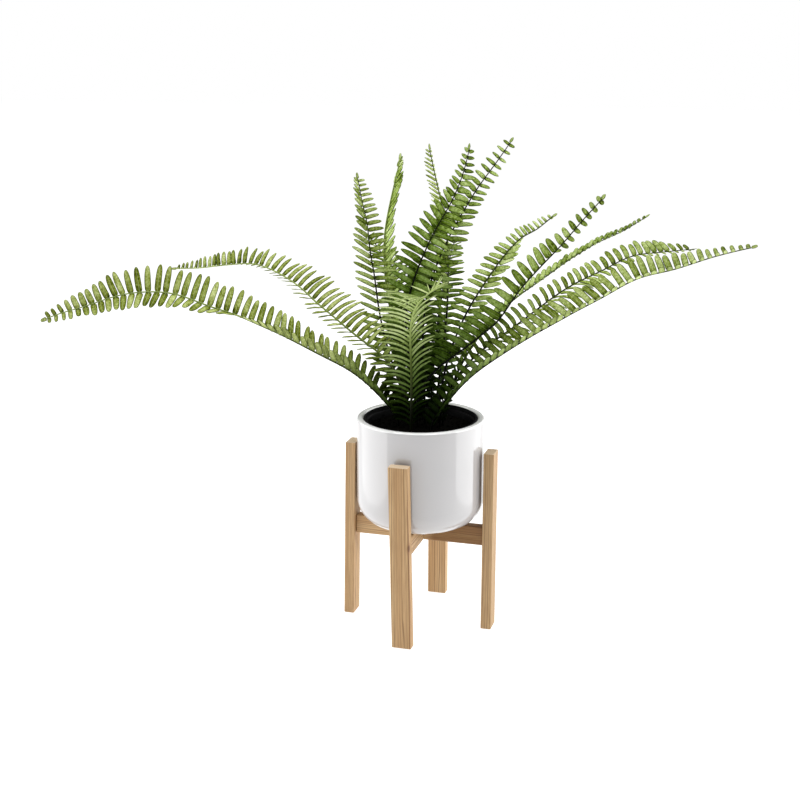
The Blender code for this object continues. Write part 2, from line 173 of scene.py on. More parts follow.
# root is in mm from the soil's centre, length in mm. lean is the rib's angle from upright and heading its
# bearing in plan. left and right are the rib's own sides. width is in mm, point is 0 for blunt leaflets and
# 1 for pointed ones, spacing is in mm. tone and rib_tone go from dark to light, warmth from green to olive.
# dim is how far from the plant's foot it is in full light, in mm. roll is the rib's turn about itself.
# aside and rise shift it as it is seen, to the right and up, in units. What varies along a frond is given at
# even stations from root to tip.
Frond = namedtuple(
    "Frond",
    "root length lean heading left right width point spacing tone rib_tone warmth dim roll aside rise",
    defaults=((0, 0), (0, 0), (0, 0)),
)
FRONDS = {
    "frond_far_left": Frond(
        (-24, -9), 456, (26, 60, 61, 87, 120), (206, 212),
        Side((108, 108, 108, 108, 112, 140, 195, 236, 260, 278, 270),
             (8, 12, 14, 14, 13, 10, 9, 13, 13, 8, 4), (6, 8, 8, 8, 11, 18, 22, 22, 20, 13, 1),
             curl=(-8, -8)),
        Side((60, 60, 79, 86, 76, 71, 69, 74, 110, 116, 128), (12, 18, 23, 23, 24, 26, 27, 27, 24, 15.5, 4),
             (-4, -6, -8, -10, -10, -10, -8, -6, -6, -4, 0), curl=(-14, -4)),
        7.2, 0.3, (9, 9.6, 10.2, 9.4, 7), 0.36, 0.62, 1, 165,
        roll=(-5, -65), aside=(0, 0, 0, 0, 0, 0, 0, 0, 0, -0.5, -5),
        rise=(0, -3, -3.3, -3.8, -3.6, -5.3, -6.5, -0.9, -1.6, -4.6, -1.2),
    ),
    "frond_far_right": Frond(
        (18, -16), 431, (20, 55, 57, 69, 77), (3, 3),
        Side((140, 140, 140, 142, 142, 140, 139, 122, 108, 118, 110),
             (14, 17, 20, 22, 23, 24, 23, 22, 16, 9, 3), (-6, -8, -12, -14, -14, -14, -12, -8, -6, -3, 0),
             turn=(15, 10, 0), curl=(15, 15, 0)),
        Side((60, 70, 75, 75, 75, 80, 90, 95, 95, 100, 100), (8, 12, 12, 9, 8, 7, 5, 5, 5, 4, 2),
             (8, 10, 14, 16, 16, 16, 16, 15, 12, 6, 0)),
        7.5, 0.15, (10, 10, 10, 9, 8), 0.47, 0.15, 0.6, 220,
        roll=(5, 35), rise=(0, -5, -4.4, -2.8, -2.6, -3.7, -3.5, 0.4, -2.5, -0.8, 0),
    ),
    "frond_tallest": Frond(
        (3, 7), 377, (0, -4, 30, 47, 45), (64, 58),
        Side((150, 150, 160, 165, 160, 148, 140, 140, 136, 141, 140),
             (8, 10, 18, 23, 26, 25, 20, 17, 13.5, 9.5, 6), (5, 6, 6, 6, 5, 0), curl=(8, 8)),
        Side((10, 10, 5, 0, -3, 0, 0, 0, -10, -34, -20), (8, 10, 16, 20, 22, 21, 18, 13, 11, 8, 5),
             (5, 6, 6, 6, 5, 0), curl=(-8, -8)),
        7, 0.6, (10, 10, 10, 10, 11), 0.49, 0, 0.2, 320,
        roll=(10, 10), aside=(0, 0, 0, 0, 0, 0, 0, 0, -1.5, -0.5, 0),
    ),
    "frond_front": Frond(
        (-5, -22), 232, (4, -4, 15, 62, 66), (286, 310),
        Side((40, 36, 36, 40, 42, 46, 48, 46, 38, 30, 38), (12, 20, 22, 24, 27, 29, 29, 27, 24, 18, 12),
             (-3, -4, -5, -6, -6, -6, -4, 0, 4, 4, 0), turn=(15, 15), curl=(-44, -42, -36, -20, -10)),
        Side((152, 154, 156, 158, 160, 162, 164, 164, 163, 162, 162, 161, 160, 158, 155, 153, 175, 205, 66,
             56, 50), (14, 18, 21, 23, 25, 28, 30, 31, 32, 33, 34, 35, 36, 36, 36, 36, 33, 28, 3, 14, 10),
             (-3, -4, -5, -6, -6, -6, -4, 0, 4, 4, 0), turn=(15, 15),
             curl=(50, 50, 48, 46, 44, 40, 34, 24, 10, -10, 0)),
        3, 0.5, (6.4, 6, 4.2), 0.75, 1.1, 0.2, 140,
        aside=(0, 0, 0, 0, -1, -2, -2, -1, 0, 0, 0),
    ),
    "frond_upright": Frond(
        (-8, 8), 345, (-1, -15, 24, 39, 11), (60, 50),
        Side((150, 150, 160, 165, 162, 150, 148, 131, 122, 138, 135),
             (8, 10, 16, 22, 24, 24, 23, 20, 13, 9, 4.5), (5, 6, 8, 8, 8, 8, 8, 6, 5, 3, 0), curl=(8, 8)),
        Side((10, 5, 0, -5, -15, -20, -28, -25, -16, -6, 0), (8, 10, 16, 20, 20, 20, 20, 19, 16, 11, 4),
             (5, 6, 8, 8, 8, 8, 8, 6, 5, 3, 0), curl=(-10, -10)),
        7.6, 0.7, (10.5, 10, 9.6, 8.5, 7), 0.46, 0, 0.1, 320,
    ),
    "frond_upright_left": Frond(
        (-16, 19), 308, (40, 32, 16, 13, 30), (140, 140),
        Side((150, 150, 160, 165, 160, 152, 152, 146, 137, 130, 130),
             (16, 18, 19, 20, 21, 20, 20, 20, 13, 10.5, 4), (4, 6, 8, 8, 8, 8, 8, 8, 8, 4, 0),
             turn=(0, 0, 0, 0, 0, 0, 0, 10, 45, 30, 10), curl=(8, 8)),
        Side((10, 10, 5, 0, -3, -3, 0, 8, 12, 12, 12), (14, 16, 19, 22, 24, 23, 22, 17, 14, 11, 4),
             (4, 6, 8, 8, 8, 8, 8, 8, 6, 4, 0), curl=(-24, -20, -8)),
        5.5, 0.5, (10.5, 10.2, 9.8, 8, 6), 0.51, 0, 0.5, 230,
        aside=(0, -1, -1.5, -1.6, -1.7, -1.4, -1, -1.8, -1.2, -2, -0.5),
    ),
    "frond_right_upright": Frond(
        (-1, -10), 352, (-12, 55, 37, 41, 40), (4, 2),
        Side((150, 150, 160, 155, 152, 150, 140, 122, 127, 129, 125),
             (8, 12, 20, 26, 27, 26, 22, 20, 13, 9, 4.5), (-4, -6, -6, -5, -3, 0), curl=(14, 10, 0)),
        Side((110, 110, 110, 110, 115, 120, 110, 80, -36, -38, -50), (3, 3, 3, 3, 3, 3, 3, 1.5, 7.5, 6.5, 4),
             (-8, -12, -16, -18, -20, -20, -18, -12, -6, -3, 0)),
        8.8, 0.5, (13, 12, 11, 10.5, 10), 0.42, 0, 0.3, 290,
        roll=(0, 45), rise=(0, 0, 0.5, 1.8, 0, -4, 0.4, 0, -0.8, 0.8, 0.5),
    ),
    "frond_right": Frond(
        (24, -3), 387, (4, 49, 55, 71, 91), (22, 26),
        Side((120, 120, 125, 125, 132, 120, 118, 126, 118, 128, 140),
             (15, 16, 17, 17, 18, 16.5, 16, 15.5, 15, 14, 5),
             (-6, -8, -10, -12, -12, -12, -12, -12, -10, -6, 0), turn=(40, 45, 40, 30), curl=(36, 34, 20)),
        Side((40, 30, 20, 10, 5, 0, -10, -15, -20, -20, -20), (8, 10, 15, 19, 22, 24, 20, 10, 6, 4, 2),
             (6, 8, 10, 10, 10, 10, 10, 10, 8, 4, 0), curl=(-60, -60, -40)),
        6.3, 0.2, (9.2, 9, 8), 0.45, 0.1, 0.5, 230,
        roll=(10, 20), rise=(0, 0, 0, 0, -2.4, -2, -0.6, -0.8, 2.6, 0, 0),
    ),
    "frond_left": Frond(
        (-15, -2), 405, (-4, 61, 47, 94, 101), (174, 170),
        Side((190, 185, 180, 176, 182, 168, 165, 175, 100, 95, 90), (16, 17, 15, 14, 13, 13, 9, 2, 2, 2, 2),
             (8, 14, 16, 16, 17, 17, 18, 16, 12, 7, 1), turn=(-20, -26, -28, -28, -26, -10, 0),
             curl=(10, 10)),
        Side((50, 50, 45, 40, 37, 37, 40, 66, 98, 88, 85), (8, 12, 22, 28, 31, 29, 22, 18, 14.5, 10, 3),
             (-4, -6, -10, -10, -8, -8, -10, -10, -8, -5, 0),
             turn=(-18, -20, -22, -24, -26, -28, -20, -5, 0, 0, 0), curl=(-36, -30, 0)),
        6.5, 0.4, (8, 8, 8.2, 7.6, 6.3), 0.4, 0.85, 0.95, 140,
        roll=(-30, -40), rise=(0, 2, 3.6, 4.2, 4, 0.6, -0.6, 0.6, -1, -2.4, -0.5),
    ),
    "frond_right_back": Frond(
        (18, 15), 310, (0, 20, 39, 51, 75), (52, 51),
        Side((150, 150, 155, 160, 160, 158, 157, 158, 131, 127, 140),
             (6, 8, 12, 16, 18, 18, 17, 15, 11, 10.5, 3), (-4, -5, -6, -6, -4, 0), curl=(10, 10)),
        Side((20, 15, 10, 8, 8, 10, 10, 22, 10, 20, 20), (6, 8, 12, 16, 18, 18, 17, 17, 5, 3, 2),
             (-4, -5, -6, -6, -6, -6, -6, -6, -10, -9, 0), curl=(-10, -10)),
        6.2, 0.4, (9, 9, 6.5), 0.54, 0.1, 0.3, 210,
        roll=(20, 20), rise=(0, 0, 0, 0, 0, 0, 0.3, 1.4, 1, -3, 0.5),
    ),
    "frond_right_folded": Frond(
        (25, 7), 366, (8, 33, 54, 63, 67), (34, 32),
        Side((100, 100, 100, 100, 90, 80, 75, 65, 60, 55, 50), (7, 8, 9, 9, 10, 11, 12, 11, 9.5, 6, 3),
             (-6, -8, -8, -6, -4, 0), curl=(10, 10)),
        Side((60, 60, 50, 40, 35), (3, 5, 5, 4, 2), (8, 8, 7, 4, 0)),
        7, 0.2, (9, 8, 6.5), 0.54, 0, 0.2, 150,
        rise=(0, 0, 0, 0, 0, -1, -2.3, -1, -0.5, -2.5, -0.5),
    ),
    "frond_slim": Frond(
        (12, 20), 356, (9, 28, 22, 46, 22), (75, 134),
        Side((130, 130, 135, 138, 138, 138, 138, 138, 141, 148, 140),
             (6, 10, 13, 14, 15, 15, 15, 14, 12.5, 11, 4), (4, 6, 6, 5, 4, 0), curl=(8, 8)),
        Side((60, 60, 70), (5, 5, 5, 4, 2), (-10, -10, -10, -8, 0)),
        4.8, 0.6, (8.5, 8.5, 6), 0.53, 0.2, 0.6, 260,
    ),
    "frond_edgewise": Frond(
        (-6, 20), 346, (11, 35, 33, 36, 16), (161, 72),
        Side((70, 75, 80, 82, 80), (6, 12, 14, 12, 4), (-8, -12, -12, -10, 0)),
        Side((40, 40, 40, 45, 50, 50, 55, 60, 64, 62, 70), (8, 10, 14, 16, 17, 17, 17, 17, 17, 14.5, 4),
             (4, 6, 6, 6, 4, 0), curl=(10, 10)),
        6, 0.4, (8, 7.5, 6.5), 0.56, 0.6, 0.2, 200,
        aside=(0, 0, 0, -1, -1.5, -2, -2.6, -3, -2.4, -1.3, 0),
    ),
    "frond_back": Frond(
        (5, 27), 280, (8, 25, 45, 60, 75), (95, 95),
        Side((150, 165, 165, 150), (8, 18, 22, 16, 5), (4, 6, 4, 0), curl=(8, 8)),
        Side((20, 10, 10, 30), (8, 18, 22, 16, 5), (4, 6, 4, 0), curl=(-8, -8)),
        6, 0.5, (10, 10, 7), 0.4, 0.1, 0.2, 320,
    ),
    "frond_back_left": Frond(
        (-5, 25), 290, (10, 25, 45, 60, 80), (128, 128),
        Side((160, 170, 165, 150), (8, 18, 22, 16, 5), (4, 6, 4, 0), curl=(8, 8)),
        Side((30, 30, 30, 50), (8, 18, 22, 16, 5), (4, 6, 4, 0), curl=(-8, -8)),
        6, 0.5, (10, 10, 7), 0.4, 0.1, 0.2, 320,
    ),
}
PLACING_ORDER = ["frond_front"] + [name for name in FRONDS if name != "frond_front"]


def fill(node, inputs):
    """Link or set a node's inputs."""
    for key, value in inputs.items():
        if isinstance(value, bpy.types.NodeSocket):
            node.id_data.links.new(value, node.inputs[key])
        else:
            node.inputs[key].default_value = value


def add(tree, kind, inputs=None, **settings):
    node = tree.nodes.new("ShaderNode" + kind)
    for name, value in settings.items():
        setattr(node, name, value)
    fill(node, inputs or {})
    return node


def maths(operation, *values):
    """A sum, in the node tree that its first value belongs to."""
    return add(values[0].id_data, "Math", dict(enumerate(values)), operation=operation).outputs[0]


def plus(first, second):
    return maths("ADD", first, second)


def times(first, second):
    return maths("MULTIPLY", first, second)


def about_zero(value, strength):
    """A value from 0 to 1 spread over a range of this strength about zero."""
    return maths("MULTIPLY_ADD", value, strength, -strength / 2)


def vectors(operation, *values):
    made = add(values[0].id_data, "VectorMath", dict(enumerate(values)), operation=operation)
    return made.outputs["Value" if operation == "LENGTH" else "Vector"]


def mixed(share, first, second, blend="MIX"):
    """Colours mixed by a share. The second may be a plain (r, g, b)."""
    if not isinstance(second, bpy.types.NodeSocket):
        second = (*second, 1)
    inputs = {0: share, 6: first, 7: second}
    return add(first.id_data, "Mix", inputs, data_type="RGBA", blend_type=blend).outputs[2]


def dimmed(colour, red, green, blue):
    light = add(colour.id_data, "CombineColor", {0: red, 1: green, 2: blue}).outputs[0]
    return mixed(1, colour, light, "MULTIPLY")


def ramp(share, stops):
    """A colour ramp from [(place, (r, g, b)), ...]."""
    node = add(share.id_data, "ValToRGB", {0: share})
    elements = node.color_ramp.elements
    while len(elements) < len(stops):
        elements.new(0.5)
    for element, (place, colour) in zip(elements, stops):
        element.position = place
        element.color = (*colour, 1)
    return node.outputs[0]


def limits(value, low, high, out_low=0, out_high=1):
    """The value mapped from one range to another and kept inside it, with soft ends."""
    inputs = {0: value, 1: low, 2: high, 3: out_low, 4: out_high}
    return add(value.id_data, "MapRange", inputs, interpolation_type="SMOOTHSTEP").outputs[0]


def attribute(tree, name):
    return add(tree, "Attribute", attribute_name=name).outputs["Fac"]


def position(tree, scale=(1, 1, 1), offset=(0, 0, 0)):
    """The object's own coordinates, scaled and then moved."""
    spot = add(tree, "TexCoord").outputs["Object"]
    return add(tree, "Mapping", {"Vector": spot, "Location": offset, "Scale": scale}).outputs[0]


def noise(vector, scale, detail, roughness=0.5):
    inputs = {"Vector": vector, "Scale": scale, "Detail": detail, "Roughness": roughness}
    return add(vector.id_data, "TexNoise", inputs).outputs[0]


def bump(height, strength, distance):
    inputs = {"Height": height, "Strength": strength, "Distance": distance}
    return add(height.id_data, "Bump", inputs).outputs[0]


def new_material(name):
    made = bpy.data.materials.new(name)
    made.use_nodes = True
    return made, made.node_tree, made.node_tree.nodes["Principled BSDF"]


def finish_shader(shader, colour, roughness, normal, specular):
    inputs = {"Base Color": colour, "Roughness": roughness, "Normal": normal, "Specular IOR Level": specular}
    fill(shader, inputs)


def leaf_material():
    """Green plastic leaf: darker by the rib and the edge as painted shade, a pale middle vein, dimmer deep
    in the plant.
    """
    made, tree, shader = new_material("leaf")
    along = attribute(tree, "along")
    beside = maths("ABSOLUTE", attribute(tree, "across"))
    blotches = noise(position(tree), 60, 3)
    clouds = noise(position(tree), 420, 3)
    level = plus(attribute(tree, "tone"), about_zero(blotches, 0.84))
    level = plus(level, about_zero(clouds, 1))
    # Painted shade: darker where the leaflet starts at the rib, where the leaflets crowd together
    level = plus(level, limits(along, 0, 0.3, -0.17, 0.09))
    green = ramp(level, [
        (0, (0.006, 0.02, 0.0002)),
        (0.25, (0.06, 0.115, 0.0015)),
        (0.5, (0.22, 0.335, 0.04)),
        (0.75, (0.46, 0.61, 0.19)),
        (1, (0.72, 0.86, 0.38)),
    ])
    olive = ramp(level, [
        (0, (0.025, 0.04, 0.001)),
        (0.25, (0.13, 0.165, 0.007)),
        (0.5, (0.31, 0.37, 0.08)),
        (0.75, (0.55, 0.62, 0.24)),
        (1, (0.8, 0.86, 0.44)),
    ])
    colour = mixed(attribute(tree, "warmth"), green, olive)
    vein = limits(beside, 0.02, 0.16, 1, 0)
    vein_count, vein_slant = 22, 2.2
    slanted = maths("SUBTRACT", times(along, vein_count), times(beside, vein_slant))
    side_veins = limits(maths("SINE", times(slanted, 2 * pi)), 0.55, 1)
    colour = mixed(times(vein, 0.42), colour, (0.56, 0.64, 0.3))
    colour = mixed(times(side_veins, 0.36), colour, (0.045, 0.085, 0.002))
    # Painted shade: a dark line along the leaflet's edge
    colour = mixed(limits(beside, 0.58, 1, 0, 0.9), colour, (0.03, 0.05, 0.002))
    colour = mixed(times(attribute(tree, "under"), 0.2), colour, (0.42, 0.48, 0.25))
    light = attribute(tree, "light")
    colour = dimmed(colour, maths("POWER", light, 1.2), light, maths("POWER", light, 1.5))
    height = maths("SUBTRACT", times(vein, -0.6), times(side_veins, 0.3))
    height = plus(height, times(clouds, 0.4))
    roughness = limits(clouds, 0.3, 0.7, 0.42, 0.56)
    finish_shader(shader, colour, roughness, bump(height, 0.5, 0.0004), 0.02)
    return made


def rib_material():
    """The rib: from near black to green by its tone, with a paler upper side and a darker lower part, both
    painted shade, and long fine streaks.
    """
    made, tree, shader = new_material("rib")
    streaks = noise(position(tree, (1, 1, 0.15)), 900, 2)
    level = plus(attribute(tree, "tone"), about_zero(streaks, 0.24))
    # Painted shade: the lower side of the rib is darker
    level = plus(level, limits(attribute(tree, "across"), -0.3, 0.6, -0.25, 0.05))
    # Painted shade: the rib is darker towards its root, deep in the plant
    level = plus(level, limits(attribute(tree, "along"), 0.3, 0.65, -0.25, 0.08))
    colour = ramp(level, [
        (0, (0.003, 0.006, 0.001)),
        (0.3, (0.04, 0.06, 0.006)),
        (0.6, (0.16, 0.22, 0.04)),
        (1, (0.42, 0.52, 0.18)),
    ])
    light = attribute(tree, "light")
    colour = dimmed(colour, light, light, light)
    roughness = limits(streaks, 0.3, 0.7, 0.4, 0.55)
    finish_shader(shader, colour, roughness, bump(streaks, 0.3, 0.0003), 0.08)
    return made


def stretched(length_axis, share):
    """A scale that leaves only a share of the coordinate along the wood."""
    return [share if axis == length_axis else 1 for axis in range(3)]


def late_wood(spot, length_axis):
    """Dark lines of growth rings about a far centre, which sway along the piece and are unevenly strong."""
    rings_per_metre = 520
    flat = vectors("MULTIPLY", spot, stretched(length_axis, 0))
    sway = noise(spot, 16, 2)
    uneven = noise(flat, 260, 2)
    radius = plus(vectors("LENGTH", flat), times(sway, 0.03))
    radius = plus(radius, times(uneven, 0.0024))
    ring = maths("FRACT", times(radius, rings_per_metre))
    late = times(limits(ring, 0.58, 0.86), limits(ring, 0.9, 1, 1, 0))
    return times(late, limits(uneven, 0.32, 0.62, 0.2, 1))


def with_knot(colour, spot):
    place, size = KNOT
    shift = vectors("SUBTRACT", spot, place)
    radius = vectors("LENGTH", vectors("MULTIPLY", shift, [1 / value for value in size]))
    colour = mixed(limits(radius, 0.8, 2.4, 0.6, 0), colour, (0.30, 0.15, 0.06))
    return mixed(limits(radius, 0.6, 1.1, 0.9, 0), colour, (0.15, 0.065, 0.028))


def wood_material(name, length_axis, offset, shade_tint=(1, 1, 1), knot=False, painted_shade=False):
    """Pale softwood with growth rings and fibres along the piece, and pale end grain on upright pieces."""
    made, tree, shader = new_material(name)
    late = late_wood(position(tree, stretched(length_axis, 0.07), offset), length_axis)
    fibre_scale = stretched(length_axis, 0.018)
    fibres = noise(position(tree, fibre_scale, offset), 1500, 3, 0.6)
    patches = noise(position(tree, [value * 2 for value in fibre_scale], offset), 40, 2)
    colour = ramp(patches, [(0.3, (0.50, 0.30, 0.133)), (0.7, (0.64, 0.44, 0.23))])
    colour = mixed(times(late, 0.95), colour, (0.17, 0.078, 0.028))
    colour = mixed(limits(fibres, 0.4, 0.66, 0, 0.6), colour, (0.33, 0.185, 0.08))
    spot = add(tree, "TexCoord").outputs["Object"]
    x, _, z = add(tree, "SeparateXYZ", {0: spot}).outputs
    # Painted shade: the long crossbar is darker to the right, in the pot's shadow
    if painted_shade:
        darker = mixed(1, colour, (0.5, 0.4, 0.27), "MULTIPLY")
        colour = mixed(limits(x, *PAINTED_SHADE_SPAN), colour, darker)
    if length_axis == 2:
        end_grain = limits(z, LEG_HEIGHT - 0.7 * MM, LEG_HEIGHT - 0.3 * MM, 0, 0.5)
        colour = mixed(end_grain, colour, (0.8, 0.68, 0.52))
    # Painted shade: the tint darkens the whole piece
    colour = mixed(1, colour, shade_tint, "MULTIPLY")
    if knot:
        colour = with_knot(colour, spot)
    height = plus(times(fibres, 0.8), times(late, 0.5))
    roughness = limits(fibres, 0.3, 0.7, 0.52, 0.68)
    finish_shader(shader, colour, roughness, bump(height, 0.25, 0.0004), 0.45)
    return made


def glaze_material():
    """Glossy white glaze with a faint unevenness, and painted light that makes it paler at the rim."""
    made, tree, shader = new_material("white_glaze")
    waves = noise(position(tree), 14, 2)
    specks = noise(position(tree), 260, 3)
    colour = ramp(waves, [(0.3, (0.47, 0.465, 0.47)), (0.7, (0.49, 0.48, 0.485))])
    colour = mixed(limits(specks, 0.68, 0.8, 0, 0.12), colour, (0.45, 0.44, 0.43))
    height = add(tree, "SeparateXYZ", {0: add(tree, "TexCoord").outputs["Object"]}).outputs[2]
    # Painted light: the rim is paler, to stay bright under the fronds' shade
    rim = limits(height, POT_TOP - 2.4 * MM, POT_TOP - 1 * MM)
    colour = mixed(rim, colour, (0.9, 0.9, 0.9))
    roughness = limits(specks, 0.3, 0.7, 0.05, 0.1)
    finish_shader(shader, colour, roughness, bump(waves, 0.05, 0.001), 1)
    shader.inputs["IOR"].default_value = 1.6
    return made


def plastic_material():
    """Black moulded plastic with some dust."""
    made, tree, shader = new_material("black_plastic")
    grain = noise(position(tree), 1200, 2)
    dust = noise(position(tree), 90, 3)
    colour = ramp(dust, [(0.35, (0.003, 0.003, 0.0033)), (0.75, (0.008, 0.008, 0.0085))])
    roughness = limits(dust, 0.3, 0.7, 0.26, 0.42)
    finish_shader(shader, colour, roughness, bump(grain, 0.15, 0.0002), 0.03)
    return made


def soil_material():
    """Dark, crumbly soil."""
    made, tree, shader = new_material("soil")
    crumbs = noise(position(tree), 420, 4, 0.65)
    colour = ramp(crumbs, [(0.35, (0.001, 0.001, 0.0008)), (0.75, (0.006, 0.005, 0.004))])
    finish_shader(shader, colour, 0.9, bump(crumbs, 0.8, 0.001), 0.01)
    return made


def put_in_scene(name, data):
    obj = bpy.data.objects.new(name, data)
    bpy.context.scene.collection.objects.link(obj)
    return obj


def object_from(name, points, faces, materials):
    mesh = bpy.data.meshes.new(name)
    mesh.from_pydata([tuple(point) for point in points], [], faces)
    for used in materials:
        mesh.materials.append(used)
    mesh.polygons.foreach_set("use_smooth", [True] * len(mesh.polygons))
    mesh.update()
    return put_in_scene(name, mesh)


def dressed(obj, nodes):
    """The piece rides on the object's one body and stands for CAD nodes."""
    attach(obj, "root")
    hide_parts(*nodes)


def arc(centre, radius, start, end, steps):
    """Points (x, z) on an arc, with angles in degrees from +X towards +Z."""
    angles = [radians(start + (end - start) * k / steps) for k in range(steps + 1)]
    return [(centre[0] + radius * cos(a), centre[1] + radius * sin(a)) for a in angles]


def spread(start, end, steps):
    """Points between two, without the end."""
    return [tuple(np.add(start, np.subtract(end, start) * k / steps)) for k in range(steps)]


def turned(name, profile, steps, look):
    """A solid of revolution from a profile of (x, z) points that runs from the axis to the axis."""
    inner = profile[1:-1]
    angles = [2 * pi * k / steps for k in range(steps)]
    points = [(x * cos(a), x * sin(a), z) for x, z in inner for a in angles]
    faces = []
    for row in range(len(inner) - 1):
        for k in range(steps):
            ahead = (k + 1) % steps
            low, high = row * steps, (row + 1) * steps
            faces.append((low + k, high + k, high + ahead, low + ahead))
    first, last = len(points), len(points) + 1
    points += [(0, 0, profile[0][1]), (0, 0, profile[-1][1])]
    final = (len(inner) - 1) * steps
    for k in range(steps):
        ahead = (k + 1) % steps
        faces.append((first, k, ahead))
        faces.append((last, final + ahead, final + k))
    return object_from(name, points, faces, [look])


def make_planter():
    inner = POT_RADIUS - POT_WALL
    inner_corner = POT_CORNER - POT_WALL
    rim = POT_RIM_ROUND
    flat = 0.3 * inner
    profile = [(0, POT_FLOOR), (flat, POT_FLOOR)]
    profile += arc((inner - inner_corner, POT_FLOOR + inner_corner), inner_corner, -90, 0, 12)
    profile += spread((inner, POT_FLOOR + inner_corner + 5 * MM), (inner, POT_TOP - rim), 6)
    profile += arc((inner + rim, POT_TOP - rim), rim, 180, 90, 6)
    profile += arc((POT_RADIUS - rim, POT_TOP - rim), rim, 90, 0, 6)
    start = (POT_RADIUS, POT_TOP - rim - 2 * MM)
    profile += spread(start, (POT_RADIUS, POT_BOTTOM + POT_CORNER + 1 * MM), 10)
    profile += arc((POT_RADIUS - POT_CORNER, POT_BOTTOM + POT_CORNER), POT_CORNER, 0, -90, 18)
    profile += [(flat, POT_BOTTOM), (0, POT_BOTTOM)]
    planter = turned("white_planter", profile, POT_STEPS, glaze_material())
    dressed(planter, ["planter"])


def liner_inner_radius(z):
    share = (z - LINER_BOTTOM) / (LEDGE_HEIGHT - LINER_BOTTOM)
    return LINER_BASE_RADIUS + share * (LINER_TOP_RADIUS - LINER_BASE_RADIUS) - LINER_WALL


def make_liner():
    """The nursery pot: a thin tapered wall that steps out over a ledge to an upright collar."""
    floor = LINER_BOTTOM + LINER_WALL
    outer = COLLAR_RADIUS
    inner = COLLAR_RADIUS - LINER_WALL
    ease = 0.5 * MM
    chamfer = 0.3 * MM
    foot = 2 * MM
    under = LEDGE_HEIGHT - LINER_WALL
    ledge = liner_inner_radius(LEDGE_HEIGHT)
    wall_top = (liner_inner_radius(LEDGE_HEIGHT - ease), LEDGE_HEIGHT - ease)
    profile = [(0, floor)]
    profile += spread((liner_inner_radius(floor), floor), wall_top, 8)
    profile += arc((ledge + ease, LEDGE_HEIGHT - ease), ease, 180, 90, 3)
    profile += arc((inner - ease, LEDGE_HEIGHT + ease), ease, -90, 0, 3)
    profile += arc((inner + ease, LINER_TOP - ease), ease, 180, 90, 3)
    profile += arc((outer - ease, LINER_TOP - ease), ease, 90, 0, 3)
    profile += [
        (outer, under + chamfer),
        (outer - chamfer, under),
        (LINER_TOP_RADIUS, under),
        (LINER_BASE_RADIUS, LINER_BOTTOM + foot),
        (LINER_BASE_RADIUS - foot, LINER_BOTTOM),
        (0, LINER_BOTTOM),
    ]
    liner = turned("nursery_pot", profile, LINER_STEPS, plastic_material())
    dressed(liner, ["liner"])


def soil_height(x, y):
    """The soil is a low mound, highest in the middle."""
    share = min(1, hypot(x, y) / liner_inner_radius(SOIL_EDGE))
    return SOIL_EDGE + SOIL_MOUND * (1 - share * share)


def on_circle(radius, angle):
    return radius * cos(angle), radius * sin(angle)


def soil_ripple(x, y, waves):
    ripple = 0
    for n, (turn, phase, _) in enumerate(waves):
        finer = 1 + n % 4
        across = x * WAVE_TURNS * finer * cos(turn) + y * WAVE_TURNS * finer * sin(turn)
        ripple += sin(across + phase)
    return ripple


def lump(centre, radius, random):
    """A small uneven crumb of soil as points and faces."""
    shape = bmesh.new()
    bmesh.ops.create_icosphere(shape, subdivisions=1, radius=radius)
    stretch = random.uniform(0.6, 1.25, 3)
    points = [
        np.array(vert.co) * stretch * random.uniform(0.8, 1.15) + centre for vert in shape.verts
    ]
    faces = [tuple(vert.index for vert in face.verts) for face in shape.faces]
    shape.free()
    return points, faces


def make_soil():
    """A bumpy mound down to the pot's floor, with crumbs on it."""
    random = np.random.default_rng(7)
    rings, steps = SOIL_RINGS, SOIL_STEPS
    bottom = LINER_BOTTOM + LINER_WALL + GAP
    edge = liner_inner_radius(SOIL_EDGE) - GAP
    foot = liner_inner_radius(bottom) - GAP
    angles = [2 * pi * k / steps for k in range(steps)]
    waves = random.uniform(0, 2 * pi, (WAVE_COUNT, 3))
    points = [(0, 0, soil_height(0, 0))]
    faces = []
    for ring in range(1, rings + 1):
        calm = min(1, (rings - ring) / CALM_RINGS)
        for angle in angles:
            x, y = on_circle(edge * ring / rings, angle)
            jitter = random.uniform(-JITTER, JITTER) * MM
            bumps = WAVE_HEIGHT * soil_ripple(x, y, waves) + jitter
            points.append((x, y, soil_height(x, y) + calm * bumps))
    points += [(*on_circle(foot, angle), bottom) for angle in angles]
    points.append((0, 0, bottom))
    last = len(points) - 1
    for k in range(steps):
        ahead = (k + 1) % steps
        faces.append((0, 1 + k, 1 + ahead))
        for ring in range(rings):
            low, high = 1 + ring * steps, 1 + (ring + 1) * steps
            faces.append((low + k, high + k, high + ahead, low + ahead))
        faces.append((last, 1 + rings * steps + ahead, 1 + rings * steps + k))
    for _ in range(CRUMB_COUNT):
        radius = edge * sqrt(random.uniform(0, 0.94))
        x, y = on_circle(radius, random.uniform(0, 2 * pi))
        size = random.uniform(*CRUMB_RADII) * MM
        centre = np.array((x, y, soil_height(x, y) + 0.2 * size))
        more_points, more_faces = lump(centre, size, random)
        faces += [tuple(index + len(points) for index in face) for face in more_faces]
        points += more_points
    soil = object_from("potting_soil", points, faces, [soil_material()])
    dressed(soil, ["soil"])


def between(values, share):
    """The value at a share of the way along evenly spaced values."""
    return float(np.interp(share, np.linspace(0, 1, len(values)), values))


